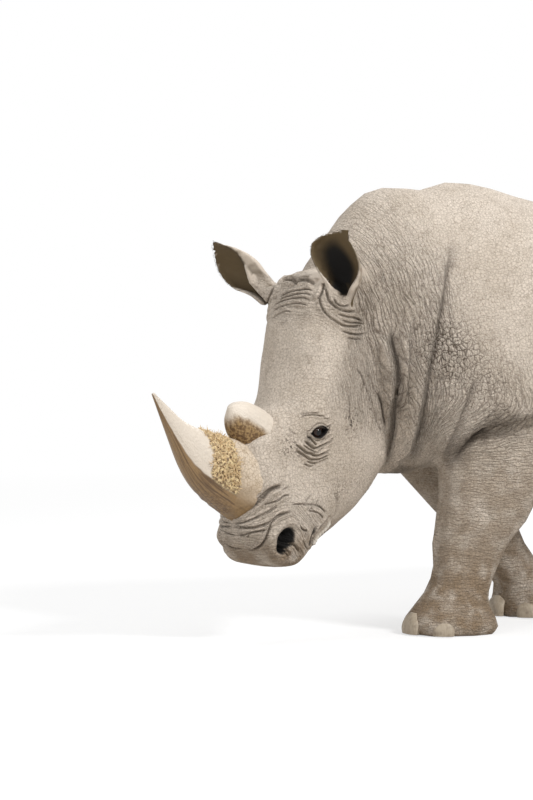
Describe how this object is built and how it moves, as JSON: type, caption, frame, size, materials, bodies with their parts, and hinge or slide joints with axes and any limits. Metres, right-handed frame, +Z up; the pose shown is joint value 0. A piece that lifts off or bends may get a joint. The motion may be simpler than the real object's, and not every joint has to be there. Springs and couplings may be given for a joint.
{
  "type": "white rhinoceros",
  "caption": "Life-size still model of a walking white rhinoceros, head low and turned to its left, with long front horn, short rear horn, scoop ears and toed feet.",
  "frame": {"origin": "on the floor, below the middle of the bounding box", "axes": "+Z up, -X forward along the animal, -Y towards the animal's left side, which the head turns to"},
  "size_m": [3.3671, 0.972, 1.7],
  "materials": {
    "skin": "matte",
    "horn": "satin",
    "nail": "matte",
    "eye": "gloss"
  },
  "bodies": {
    "root": {"trunk": "skin", "neck": "skin", "head": "skin", "leg_front_left": "skin", "leg_front_right": "skin", "leg_hind_left": "skin", "leg_hind_right": "skin", "tail": "skin", "horn_front": "horn", "horn_rear": "horn", "ear_left": "skin", "ear_right": "skin", "eye_left": "eye", "eye_right": "eye", "nail_front_left_inner": "nail", "nail_front_left_middle": "nail", "nail_front_left_outer": "nail", "nail_front_right_inner": "nail", "nail_front_right_middle": "nail", "nail_front_right_outer": "nail", "nail_hind_left_inner": "nail", "nail_hind_left_middle": "nail", "nail_hind_left_outer": "nail", "nail_hind_right_inner": "nail", "nail_hind_right_middle": "nail", "nail_hind_right_outer": "nail"}
  },
  "joints": []
}
